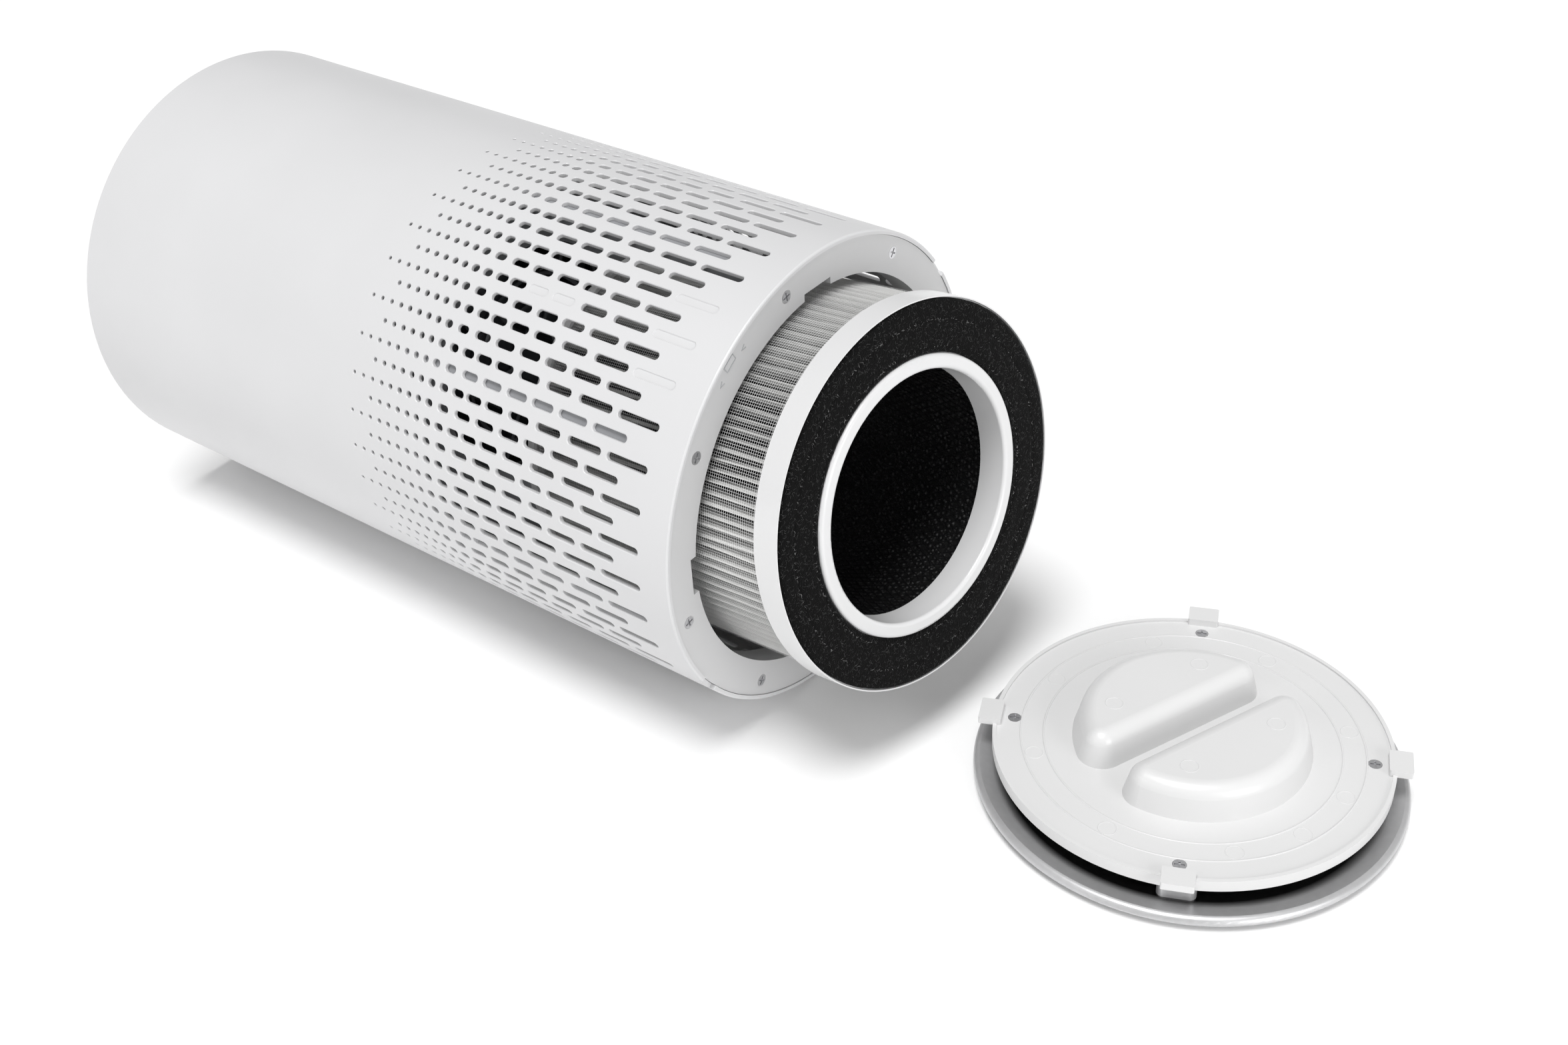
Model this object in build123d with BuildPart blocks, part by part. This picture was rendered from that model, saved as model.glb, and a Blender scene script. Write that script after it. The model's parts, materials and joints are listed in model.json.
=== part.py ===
from build123d import *
import os
from math import cos, radians, sin

# A cylindrical air purifier, opened for a filter change. The housing lies on its side, the filter
# cartridge stands part-way out of its base end, and the base cover lies inner side up on the floor.
# +X runs along the housing from the air outlet to the base end, and +Z is up. Millimetres, degrees.
# Along the housing, places are measured from the rim of the base end: minus is inside the housing.
# Round the housing, angles start at the -Y side and turn towards +Z.

# ---- Housing ----
shell_radius = 115.0
shell_length = 406.0
shell_wall = 2.2
fit_gap = 0.2
rim_notch_angle = -36.0
rim_notch_width = 12.0
rim_notch_depth = 3.0

# ---- Base ring with the bayonet opening ----
ring_face = 0.6
ring_plate = 2.8
opening_radius = 95.2
collar_radius = 101.0
collar_depth = 13.4
notch_radius = 98.2
notch_angle = -2.0
notch_width = 19.0
ring_screw_circle = 105.3
ring_screw_angle = -14.0
ring_screw_count = 8

# ---- Countersunk screws ----
head_radius = 3.0
head_height = 1.6
shank_radius = 1.5
screw_length = 11.0
recess_width = 0.8
recess_depth = 1.1

# ---- Filter cartridge ----
# Drawn out, its front face stands clear of the rim, off the housing's axis, and leans.
filter_out = 58.6
filter_offset = 14.8
filter_tilt = 10.8
filter_lean = 55.0
filter_length = 170.0
cap_radius = 90.6
felt_radius = 89.9
felt_thickness = 3.0
lip_outer = 65.2
bore_radius = 58.4
front_band = 14.0
rear_band = 8.6
cap_wall = 1.8
pleat_outer = 87.6
pleat_inner = 70.0
carbon_inner = 61.5
net_wall = 0.5
gasket_thickness = 4.0

# ---- Bay frame and fan ----
deck_front = 188.2
deck_thickness = 2.8
intake_radius = 62.0
column_inner = 108.4
column_width = 9.0
boss_inner = 101.6
boss_length = 14.0
impeller_radius = 88.0
impeller_front = 200.0
impeller_back = 244.0
blade_count = 9
hub_radius = 9.0
shaft_radius = 3.0
running_gap = 0.05
vane_count = 12
vane_hub_radius = 60.0
vane_front = 253.0
vane_back = 283.0
motor_radius = 35.0
motor_front = 248.0
motor_screw_circle = 22.0
board_length = 100.0
board_width = 66.0

# ---- Air outlet end ----
top_ring_inner = 96.0
top_ring_depth = 12.0
panel_radius = 46.0
panel_face = 402.5
panel_thickness = 3.0
button_circle = 24.0
button_radius = 8.0
button_gap = 0.2
button_proud = 0.7
board_back = 391.0
grille_slot_count = 60
grille_slot_width = 3.2

# ---- Cord gland ----
gland_place = 330.0
gland_angle = 225.0
gland_neck = 5.0
gland_flange = 7.5
gland_bore = 3.4

# ---- Base cover, measured up from the floor ----
cover_x = 183.0
cover_y = 28.9
cover_radius = 90.3
dish_radius = 98.6
dish_rim_height = 7.5
dish_hole = 58.0
disc_face = 21.0
disc_thickness = 2.2
skirt_bottom = 16.3
rim_height = 1.0
lug_angle = 24.0
lug_tip = 96.9
lug_inner = 86.5
lug_width = 14.3
lug_height = 3.6
cover_screw_circle = 80.8
boss_width = 17.0
boss_depth = 11.0
grip_radius = 54.0
grip_height = 16.0
grip_taper = 14.0
grip_wall = 2.4
grip_corner = 11.0
grip_round = 7.5
channel_width = 10.0
channel_angle = lug_angle + 45.0
foot_inner = 78.0
foot_outer = 88.0
foot_height = 1.7

# The origin is the middle of the whole layout's box, at floor level.
rim_x = (shell_length - (cover_x + dish_radius)) / 2
axis_y = (shell_radius - (cover_y + dish_radius)) / 2
axis_z = shell_radius

device_axis = Axis((rim_x, axis_y, axis_z), (1, 0, 0))
device_section = Plane(origin=(rim_x, axis_y, axis_z), x_dir=(1, 0, 0), z_dir=(0, -1, 0))
lean_way = Vector(0, -cos(radians(filter_lean)), sin(radians(filter_lean)))
filter_way = Vector(1, 0, 0) * cos(radians(filter_tilt)) + lean_way * sin(radians(filter_tilt))
filter_side = Vector(1, 0, 0).cross(lean_way)
filter_face = Vector(rim_x + filter_out, axis_y, axis_z) + lean_way * filter_offset
filter_axis = Axis(filter_face, filter_way)
filter_section = Plane(origin=filter_face, x_dir=filter_way, z_dir=filter_side)
cover_origin = (rim_x + cover_x, axis_y + cover_y, 0)
cover_axis = Axis(cover_origin, (0, 0, 1))
cover_section = Plane(origin=cover_origin, x_dir=(1, 0, 0), z_dir=(0, -1, 0))
gland_out = Vector(0, -cos(radians(gland_angle)), sin(radians(gland_angle)))
gland_centre = Vector(rim_x - gland_place, axis_y, axis_z)
inner_fit = shell_radius - shell_wall - fit_gap
low = (Align.CENTER, Align.CENTER, Align.MIN)

os.makedirs("parts", exist_ok=True)


def across(depth):
    """Plane across the housing, depth inside the base rim and facing into the housing."""
    return Plane(origin=(rim_x - depth, axis_y, axis_z), x_dir=(0, -1, 0), z_dir=(-1, 0, 0))


def above_floor(height):
    """Plane across the base cover, at a height above the floor."""
    return Plane(origin=(cover_origin[0], cover_origin[1], height))


def band(start, end, inner, outer, mode=Mode.ADD):
    """Rectangle of a section: start to end along the axis, inner to outer away from it."""
    with Locations(((start + end) / 2, (inner + outer) / 2)):
        Rectangle(abs(end - start), abs(outer - inner), mode=mode)


def save(piece, name):
    """Label one finished piece and write its STEP file."""
    piece.part.label = name
    export_step(piece.part, f"parts/{name}.step")


def screw_group(plane, circle, count, start, length):
    """Countersunk cross-recessed screws on a circle, heads flush with the plane."""
    with BuildPart(plane) as screws:
        with PolarLocations(circle, count, start_angle=start):
            Cone(head_radius, shank_radius, head_height, align=low)
            Cylinder(shank_radius, length, align=low)
            Box(2 * head_radius - 1.6, recess_width, recess_depth, align=low, mode=Mode.SUBTRACT)
            Box(recess_width, 2 * head_radius - 1.6, recess_depth, align=low, mode=Mode.SUBTRACT)
    return screws


# ---- Outer shell: the white tube. Its rim has two pry notches. ----
with BuildPart() as outer_shell:
    with BuildSketch(device_section):
        band(-shell_length, 0, shell_radius - shell_wall, shell_radius)
    revolve(axis=device_axis)
    end_rims = outer_shell.edges().filter_by(GeomType.CIRCLE)
    fillet(end_rims.filter_by(lambda e: e.radius > shell_radius - 0.1), radius=0.8)
    with BuildSketch(across(0)):
        with PolarLocations(shell_radius, 2, start_angle=rim_notch_angle):
            Rectangle(4 * shell_wall, rim_notch_width)
    extrude(amount=rim_notch_depth, mode=Mode.SUBTRACT)
    with BuildSketch(Plane(origin=gland_centre + gland_out * 100, z_dir=gland_out)):
        Circle(gland_neck + fit_gap)
    extrude(amount=30, mode=Mode.SUBTRACT)
save(outer_shell, "outer_shell")

# ---- Base ring: face plate, collar round the opening and four bayonet notches ----
with BuildPart() as base_ring:
    with BuildSketch(device_section):
        band(-ring_face - ring_plate, -ring_face, opening_radius, inner_fit)
        band(-collar_depth, -ring_face, opening_radius, collar_radius)
    revolve(axis=device_axis)
    with BuildSketch(across(0)):
        with PolarLocations((opening_radius + notch_radius) / 2 - 3, 4, start_angle=notch_angle):
            Rectangle(notch_radius - opening_radius + 6, notch_width)
    extrude(amount=collar_depth + 1, mode=Mode.SUBTRACT)
    with Locations(across(ring_face)):
        with PolarLocations(ring_screw_circle, ring_screw_count, start_angle=ring_screw_angle):
            Cone(head_radius + 0.1, shank_radius + 0.1, head_height, align=low, mode=Mode.SUBTRACT)
            Cylinder(shank_radius + 0.1, ring_plate + 1, align=low, mode=Mode.SUBTRACT)
save(base_ring, "base_ring")

base_ring_screws = screw_group(across(ring_face), ring_screw_circle, ring_screw_count,
                               ring_screw_angle, screw_length)
save(base_ring_screws, "base_ring_screws")

# ---- Bay frame: flat ribs on the shell from the deck to the base ring, with screw bosses ----
frame_front = ring_face + ring_plate
with BuildPart() as bay_frame:
    with BuildSketch(device_section):
        band(-deck_front, -deck_front + 6, column_inner - 6, inner_fit)
        band(-frame_front - 3, -frame_front, column_inner - 4, inner_fit)
    revolve(axis=device_axis)
    with BuildSketch(across(frame_front)):
        with PolarLocations((column_inner + inner_fit) / 2, ring_screw_count,
                            start_angle=ring_screw_angle):
            Rectangle(inner_fit - column_inner - 0.2, column_width)
    extrude(amount=deck_front - frame_front)
    with BuildSketch(across(frame_front)):
        with PolarLocations((boss_inner + column_inner + 1) / 2, ring_screw_count,
                            start_angle=ring_screw_angle):
            Rectangle(column_inner + 1 - boss_inner, column_width)
    extrude(amount=boss_length)
    with BuildSketch(across(frame_front)):
        with PolarLocations(ring_screw_circle, ring_screw_count, start_angle=ring_screw_angle):
            Circle(shank_radius + running_gap)
    extrude(amount=screw_length, mode=Mode.SUBTRACT)
save(bay_frame, "bay_frame")

# ---- Motor deck: bulkhead behind the cartridge, with the fan's bell mouth ----
with BuildPart() as motor_deck:
    with BuildSketch(device_section):
        band(-deck_front - deck_thickness, -deck_front, intake_radius, inner_fit)
        band(-impeller_front + 3, -deck_front, intake_radius, intake_radius + 3)
    revolve(axis=device_axis)
save(motor_deck, "motor_deck")

# ---- Intake guard: rings and spokes in the deck's opening ----
guard_place = deck_front + 0.4
guard_wire = 1.8
with BuildPart() as intake_guard:
    with BuildSketch(device_section):
        for ring_radius in (16.0, 30.0, 45.0, 60.9):
            band(-guard_place - guard_wire, -guard_place, ring_radius - 1, ring_radius + 1)
    revolve(axis=device_axis)
    with BuildSketch(across(guard_place)):
        with PolarLocations(38, 6):
            Rectangle(45, 2.4)
    extrude(amount=guard_wire)
save(intake_guard, "intake_guard")

# ---- Impeller: backward-curved blades between a back plate and a shroud ring ----
blade_line = ThreePointArc((38, 0), (61, 12), (78, 35))
with BuildPart() as impeller:
    with BuildSketch(device_section):
        band(-impeller_back, -impeller_back + 2.4, shaft_radius, impeller_radius)
        band(-impeller_back, -impeller_back + 20, shaft_radius, hub_radius)
        band(-impeller_front - 2, -impeller_front, intake_radius + 4, impeller_radius)
    revolve(axis=device_axis)
    with BuildSketch(across(impeller_front + 1)):
        with PolarLocations(0, blade_count):
            SlotArc(blade_line, 2.0)
    extrude(amount=impeller_back - impeller_front - 2)
save(impeller, "impeller")

# ---- Motor shaft, pressed into the impeller's hub, and the nut on its end ----
shaft_start = impeller_back - 26
with BuildPart(across(shaft_start)) as motor_shaft:
    Cylinder(shaft_radius, motor_front + 14 - shaft_start, align=low)
save(motor_shaft, "motor_shaft")

with BuildPart() as shaft_nut:
    with BuildSketch(across(shaft_start + 1.5)):
        RegularPolygon(5.5, 6)
        Circle(shaft_radius, mode=Mode.SUBTRACT)
    extrude(amount=4.5)
save(shaft_nut, "shaft_nut")

# ---- Guide vanes: the fixed cup that holds the motor, twelve vanes and their outer ring ----
with BuildPart() as guide_vanes:
    with BuildSketch(device_section):
        band(-vane_back, -vane_front, vane_hub_radius - 2.5, vane_hub_radius)
        band(-vane_back, -vane_back + 3, 6, vane_hub_radius)
        band(-vane_back, -vane_front, inner_fit - 4, inner_fit)
    revolve(axis=device_axis)
    with BuildSketch(across(vane_front + 2)):
        with PolarLocations((vane_hub_radius + inner_fit - 5) / 2, vane_count):
            Rectangle(inner_fit - vane_hub_radius - 2, 2)
    extrude(amount=vane_back - vane_front - 4)
    with BuildSketch(across(vane_back - 3)):
        with PolarLocations(motor_screw_circle, 4, start_angle=45):
            Circle(shank_radius + running_gap)
    extrude(amount=3, mode=Mode.SUBTRACT)
save(guide_vanes, "guide_vanes")

# ---- Fan motor: can with a front bearing boss and a blind bore for the shaft ----
motor_back = vane_back - 3
with BuildPart() as fan_motor:
    with BuildSketch(device_section):
        band(-motor_back, -motor_front, 0, motor_radius)
        band(-motor_front, -motor_front + 2.5, 0, 9)
    revolve(axis=device_axis)
    with BuildSketch(across(motor_front - 3)):
        Circle(shaft_radius + running_gap)
    extrude(amount=18, mode=Mode.SUBTRACT)
    with BuildSketch(across(motor_back - 6)):
        with PolarLocations(motor_screw_circle, 4, start_angle=45):
            Circle(shank_radius + running_gap)
    extrude(amount=7, mode=Mode.SUBTRACT)
    can_edges = fan_motor.edges().filter_by(GeomType.CIRCLE)
    fillet(can_edges.filter_by(lambda e: e.radius > motor_radius - 0.1), radius=2)
save(fan_motor, "fan_motor")

# Pan-head screws from behind the cup's end plate into the motor.
with BuildPart() as motor_screws:
    with BuildSketch(across(vane_back - 8)):
        with PolarLocations(motor_screw_circle, 4, start_angle=45):
            Circle(shank_radius)
    extrude(amount=8.5)
    with BuildSketch(across(vane_back)):
        with PolarLocations(motor_screw_circle, 4, start_angle=45):
            Circle(head_radius)
    extrude(amount=2)
    with BuildSketch(across(vane_back + 1)):
        with PolarLocations(motor_screw_circle, 4, start_angle=45):
            Rectangle(4, recess_width)
            Rectangle(recess_width, 4)
    extrude(amount=1.5, mode=Mode.SUBTRACT)
save(motor_screws, "motor_screws")

# ---- Power board on four standoffs behind the cup ----
board_place = vane_back + 12
board_thickness = 1.6
with BuildPart() as board_standoffs:
    with BuildSketch(across(vane_back)):
        with GridLocations(board_length - 12, board_width - 12, 2, 2):
            RegularPolygon(3.2, 6)
    extrude(amount=board_place - vane_back)
save(board_standoffs, "board_standoffs")

with BuildPart() as power_board:
    with BuildSketch(across(board_place)):
        RectangleRounded(board_length, board_width, 4)
    extrude(amount=board_thickness)
    with BuildSketch(across(board_place + board_thickness)):
        with GridLocations(17, 1, 3, 1):
            with Locations((-22, 12)):
                Circle(7)
    extrude(amount=20)
    with BuildSketch(across(board_place + board_thickness)):
        with Locations((22, 6)):
            Rectangle(24, 22)
    extrude(amount=18)
    with BuildSketch(across(board_place + board_thickness)):
        with Locations((-8, -20)):
            Rectangle(46, 8)
        with Locations((32, -20)):
            Rectangle(14, 10)
    extrude(amount=12)
save(power_board, "power_board")

# ---- Air outlet end: trim ring, grille, control panel, its board and three push buttons ----
with BuildPart() as top_ring:
    with BuildSketch(device_section):
        band(-shell_length + 0.6, -shell_length + top_ring_depth, top_ring_inner, inner_fit)
        band(-shell_length + top_ring_depth - 3, -shell_length + top_ring_depth,
             top_ring_inner - 4, inner_fit)
    revolve(axis=device_axis)
    inner_edge = top_ring.edges().filter_by(GeomType.CIRCLE).group_by(Axis.X)[0].sort_by(
        SortBy.RADIUS)[0]
    chamfer(inner_edge, 4)
save(top_ring, "top_ring")

grille_front = shell_length - top_ring_depth + 3
with BuildPart() as outlet_grille:
    with BuildSketch(across(grille_front + 3)):
        Circle(top_ring_inner - 0.2)
        Circle(panel_radius + fit_gap, mode=Mode.SUBTRACT)
        with PolarLocations(0, grille_slot_count):
            with Locations(((panel_radius + top_ring_inner) / 2, 0)):
                SlotOverall(top_ring_inner - panel_radius - 9, grille_slot_width,
                            mode=Mode.SUBTRACT)
    extrude(amount=-3)
    with BuildSketch(device_section):
        band(-grille_front - 2.6, -grille_front - 0.4, 70, 71.6)
    revolve(axis=device_axis)
save(outlet_grille, "outlet_grille")

with BuildPart() as control_panel:
    with BuildSketch(device_section):
        band(-panel_face, -panel_face + panel_thickness, 0, panel_radius)
        band(-panel_face, -board_back + 3, panel_radius - 2.2, panel_radius)
    revolve(axis=device_axis)
    with BuildSketch(across(panel_face)):
        with PolarLocations(button_circle, 3, start_angle=90):
            Circle(button_radius + button_gap)
    extrude(amount=-panel_thickness, mode=Mode.SUBTRACT)
    fillet(control_panel.edges().group_by(Axis.X)[0].sort_by(SortBy.RADIUS)[-1], radius=1.2)
save(control_panel, "control_panel")

with BuildPart() as control_board:
    with BuildSketch(across(board_back)):
        Circle(panel_radius - 2.3)
    extrude(amount=-1.6)
    with BuildSketch(across(board_back)):
        with PolarLocations(button_circle, 3, start_angle=90):
            Rectangle(7, 7)
        Rectangle(16, 12)
    extrude(amount=4)
save(control_board, "control_board")

# Each button is a cap with a flange behind the panel and a stem above its switch.
for button, name in enumerate(("power_button", "speed_button", "timer_button")):
    turn = radians(90 + 120 * button)
    centre = Vector(0, -cos(turn), sin(turn)) * button_circle + Vector(rim_x, axis_y, axis_z)
    face = Plane(origin=centre - Vector(panel_face + button_proud, 0, 0), z_dir=(1, 0, 0))
    cap_depth = button_proud + panel_thickness + 1.6
    with BuildPart(face) as push_button:
        Cylinder(button_radius, cap_depth, align=low)
        with Locations((0, 0, cap_depth - 1.2)):
            Cylinder(button_radius + 1.2, 1.2, align=low)
        Cylinder(2, button_proud + panel_face - board_back - 5.3, align=low)
        fillet(push_button.edges().group_by(Axis.X)[0], radius=0.6)
    save(push_button, name)

# ---- Cord gland: rubber bush through the shell ----
gland_plane = Plane(origin=gland_centre + gland_out * (shell_radius - 6), x_dir=(1, 0, 0),
                    z_dir=gland_out)
with BuildPart(gland_plane) as cord_gland:
    Cylinder(gland_neck, 10, align=low)
    with Locations((0, 0, 6.8)):
        Cylinder(gland_flange, 3.2, align=low)
    Cylinder(gland_flange - 1, 2.4, align=low)
    Cylinder(gland_bore, 10, align=low, mode=Mode.SUBTRACT)
    outer_face_edges = cord_gland.edges().group_by(Axis(gland_plane.origin, gland_out))[-1]
    fillet(outer_face_edges.sort_by(SortBy.RADIUS)[-1], radius=1.2)
save(cord_gland, "cord_gland")

# ---- Filter cartridge: two end caps, felt face, pleats between nets, carbon bed, rear gasket ----
# Along the cartridge, places are measured from its felt face: minus is towards its rear.
cap_plate = felt_thickness + 2.0
with BuildPart() as filter_front_cap:
    with BuildSketch(filter_section):
        band(-front_band, -0.6, cap_radius - cap_wall + 1.2, cap_radius)
        band(-cap_plate, -felt_thickness, bore_radius, cap_radius)
        band(-front_band, 1.0, bore_radius, bore_radius + 2.4)
        band(-cap_plate, 1.0, bore_radius, lip_outer)
        band(-front_band, -cap_plate, cap_radius - cap_wall, cap_radius)
    revolve(axis=filter_axis)
    lip_edges = filter_front_cap.edges().filter_by(GeomType.CIRCLE).group_by(
        Axis(filter_face, filter_way))[-1]
    fillet(lip_edges, radius=1.8)
save(filter_front_cap, "filter_front_cap")

with BuildPart() as filter_rear_cap:
    with BuildSketch(filter_section):
        cap_back = -filter_length + gasket_thickness
        band(cap_back, -filter_length + rear_band, cap_radius - cap_wall, cap_radius)
        band(cap_back, cap_back + 2, bore_radius, cap_radius)
        band(cap_back, -filter_length + rear_band, bore_radius, bore_radius + 2.4)
    revolve(axis=filter_axis)
save(filter_rear_cap, "filter_rear_cap")

with BuildPart() as felt_seal:
    with BuildSketch(filter_section):
        band(-felt_thickness, 0, lip_outer, felt_radius - 0.5)
    revolve(axis=filter_axis)
save(felt_seal, "felt_seal")

with BuildPart() as rear_gasket:
    with BuildSketch(filter_section):
        band(-filter_length, -filter_length + gasket_thickness, bore_radius + 8, cap_radius - 4)
    revolve(axis=filter_axis)
save(rear_gasket, "rear_gasket")

pack_front = -cap_plate
pack_back = -filter_length + gasket_thickness + 2
for name, inner, outer in (("pleat_pack", pleat_inner, pleat_outer),
                           ("outer_net", pleat_outer, pleat_outer + net_wall),
                           ("carbon_bed", carbon_inner, pleat_inner),
                           ("inner_mesh", carbon_inner - net_wall, carbon_inner)):
    with BuildPart() as layer:
        with BuildSketch(filter_section):
            band(pack_back, pack_front, inner, outer)
        revolve(axis=filter_axis)
    save(layer, name)

# ---- Base dish: rolled-edge silver ring with four bosses under the cover's screws ----
dish_floor = 1.2
dish_wall = 2.4
with BuildPart() as base_dish:
    with BuildSketch(cover_section):
        with BuildLine():
            Polyline((dish_hole, dish_floor), (dish_radius - 6.5, dish_floor))
            ThreePointArc((dish_radius - 6.5, dish_floor), (dish_radius - 1.6, 2.4),
                          (dish_radius, dish_rim_height - 2.6))
            ThreePointArc((dish_radius, dish_rim_height - 2.6),
                          (dish_radius - 0.9, dish_rim_height - 0.8),
                          (dish_radius - 2.8, dish_rim_height))
            Polyline((dish_radius - 2.8, dish_rim_height), (dish_radius - 9, 5.6),
                     (dish_radius - 18, 4.2), (dish_hole, dish_floor + dish_wall),
                     (dish_hole, dish_floor))
        make_face()
        band(foot_inner - 0.3, foot_outer + 0.3, 0, foot_height + 0.1, mode=Mode.SUBTRACT)
    revolve(axis=cover_axis)
    with BuildSketch(above_floor(foot_height + 0.6)):
        with PolarLocations(cover_screw_circle, 4, start_angle=lug_angle):
            RectangleRounded(boss_depth, boss_width, 3)
    extrude(amount=disc_face - disc_thickness - foot_height - 0.6)
    with BuildSketch(above_floor(disc_face - disc_thickness)):
        with PolarLocations(cover_screw_circle, 4, start_angle=lug_angle):
            Circle(shank_radius + running_gap)
    extrude(amount=-(screw_length - disc_thickness + 1), mode=Mode.SUBTRACT)
save(base_dish, "base_dish")

# ---- Cover disc: plate with skirt, two hollow half-round grips and four bayonet lugs ----
with BuildPart() as cover_disc:
    with BuildSketch(cover_section):
        band(0, cover_radius, disc_face - disc_thickness, disc_face)
        band(cover_radius - cap_wall, cover_radius, skirt_bottom, disc_face + rim_height)
    revolve(axis=cover_axis)
    with BuildSketch(above_floor(disc_face - 0.5)) as grip_outline:
        Circle(grip_radius)
        with Locations(Location((0, 0), channel_angle)):
            Rectangle(3 * grip_radius, channel_width, mode=Mode.SUBTRACT)
        fillet(grip_outline.vertices(), radius=grip_corner)
    extrude(amount=grip_height + 0.5, taper=grip_taper)
    fillet(cover_disc.edges().group_by(Axis.Z)[-1], radius=grip_round)
    with BuildSketch(above_floor(disc_face - disc_thickness)) as grip_hollow:
        Circle(grip_radius - grip_wall)
        with Locations(Location((0, 0), channel_angle)):
            Rectangle(3 * grip_radius, channel_width + 2 * grip_wall, mode=Mode.SUBTRACT)
        fillet(grip_hollow.vertices(), radius=grip_corner - grip_wall)
    extrude(amount=grip_height, taper=grip_taper, mode=Mode.SUBTRACT)
    with BuildSketch(above_floor(disc_face)):
        with PolarLocations((lug_inner + lug_tip) / 2, 4, start_angle=lug_angle):
            RectangleRounded(lug_tip - lug_inner, lug_width, 0.8)
    extrude(amount=lug_height)
    with BuildSketch(above_floor(disc_face)):
        with PolarLocations(cover_screw_circle, 4, start_angle=lug_angle):
            Circle(head_radius + 0.1)
    extrude(amount=-head_height - 0.1, mode=Mode.SUBTRACT)
    with BuildSketch(above_floor(disc_face)):
        with PolarLocations(cover_screw_circle, 4, start_angle=lug_angle):
            Circle(shank_radius + 0.1)
    extrude(amount=-disc_thickness, mode=Mode.SUBTRACT)
save(cover_disc, "cover_disc")

screw_seat = Plane(origin=above_floor(disc_face).origin, x_dir=(1, 0, 0), z_dir=(0, 0, -1))
cover_screws = screw_group(screw_seat, cover_screw_circle, 4, -lug_angle, screw_length)
save(cover_screws, "cover_screws")

# ---- Foot ring: rubber ring in the dish's groove, free to turn under it ----
with BuildPart(above_floor(0)) as foot_ring:
    Cylinder(foot_outer, foot_height, align=low)
    Cylinder(foot_inner, foot_height, align=low, mode=Mode.SUBTRACT)
save(foot_ring, "foot_ring")
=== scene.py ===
# %% [markdown]
# # A cylindrical air purifier, opened for a filter change
# The CAD model is the fixed frame: every piece below is placed from it, in metres, and the
# camera and the lights come last. The white housing lies on its side along X, its base end
# towards +X. The filter cartridge leans out of that end, and the base cover lies on the floor.

# %% Load the frame
import json
import math
import bmesh
import bpy
from mathutils import Matrix, Vector

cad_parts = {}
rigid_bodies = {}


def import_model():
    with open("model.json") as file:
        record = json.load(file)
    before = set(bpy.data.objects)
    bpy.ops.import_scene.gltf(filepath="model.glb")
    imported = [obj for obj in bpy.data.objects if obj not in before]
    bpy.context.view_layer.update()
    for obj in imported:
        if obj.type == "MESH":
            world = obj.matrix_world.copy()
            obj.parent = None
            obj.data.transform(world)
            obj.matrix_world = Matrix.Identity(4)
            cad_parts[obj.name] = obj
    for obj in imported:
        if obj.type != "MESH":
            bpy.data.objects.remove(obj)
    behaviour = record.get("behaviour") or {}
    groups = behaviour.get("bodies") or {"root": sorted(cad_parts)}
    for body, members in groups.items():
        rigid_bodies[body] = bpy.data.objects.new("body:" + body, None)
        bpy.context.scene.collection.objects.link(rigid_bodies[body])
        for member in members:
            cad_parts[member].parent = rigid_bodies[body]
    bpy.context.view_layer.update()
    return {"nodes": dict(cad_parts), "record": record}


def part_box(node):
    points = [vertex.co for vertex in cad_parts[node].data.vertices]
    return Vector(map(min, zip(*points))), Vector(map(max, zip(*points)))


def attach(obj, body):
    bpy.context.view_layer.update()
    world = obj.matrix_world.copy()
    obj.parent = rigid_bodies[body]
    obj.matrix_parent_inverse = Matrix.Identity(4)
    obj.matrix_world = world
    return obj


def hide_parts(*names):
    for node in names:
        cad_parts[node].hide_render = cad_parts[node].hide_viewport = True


for stray in list(bpy.data.objects):
    bpy.data.objects.remove(stray)
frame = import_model()
joints = {joint["name"]: joint for joint in frame["record"]["behaviour"]["joints"]}
MM = 0.001

# %% [markdown]
# ## Three places to measure from
# Each group of pieces has its own axis. The housing's frame has its origin at the middle of the
# base rim. The cartridge's frame has its origin at the middle of its felt face: the record's
# joint swings it home, so turning the home place back out gives where it is now. The cover's
# frame is at its middle on the floor. A point is then given by how far along the axis it is.

# %% Middle of the base rim, and frames of the cartridge and the cover
shell_low, shell_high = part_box("outer_shell")
shell_low, shell_high = Vector(shell_low), Vector(shell_high)
shell_radius = (shell_high.y - shell_low.y) / 2
shell_length = shell_high.x - shell_low.x
rim_centre = Vector((shell_high.x, (shell_low.y + shell_high.y) / 2, shell_radius))

swing = joints["filter_draw"]
side_way = Vector(swing["axis"]).normalized()
swing_centre = Vector(swing["pos_m"])
lean = math.radians(-swing["range_deg"][0])
home_depth = 17.8 * MM
leaned = Matrix.Rotation(lean, 4, side_way)
along = leaned @ Vector((1, 0, 0))
home_face = rim_centre - Vector((home_depth, 0, 0))
face_centre = swing_centre + leaned @ (home_face - swing_centre)
across_way = side_way.cross(along)
cartridge_frame = Matrix.Translation(face_centre) @ Matrix(
    (along, across_way, side_way)).transposed().to_4x4()

cover_centre = Vector(joints["cover_twist"]["pos_m"])
cover_frame = Matrix.Translation(cover_centre)
print("shell radius", shell_radius, "length", shell_length, "felt face", face_centre)

# %% [markdown]
# ## Helpers for meshes
# A lathe turns a profile about the frame's X axis: profile points are (along, away from the axis).
# Every piece is a plain mesh whose place is in its vertices.

# %% Mesh helpers
def new_piece(name, verts, faces, place, smooth=False):
    """A mesh object with its place written into its vertices."""
    mesh = bpy.data.meshes.new(name)
    mesh.from_pydata([place @ Vector(v) for v in verts], [], faces)
    mesh.update()
    mesh.polygons.foreach_set("use_smooth", [smooth] * len(mesh.polygons))
    piece = bpy.data.objects.new(name, mesh)
    bpy.context.scene.collection.objects.link(piece)
    return piece


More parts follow.
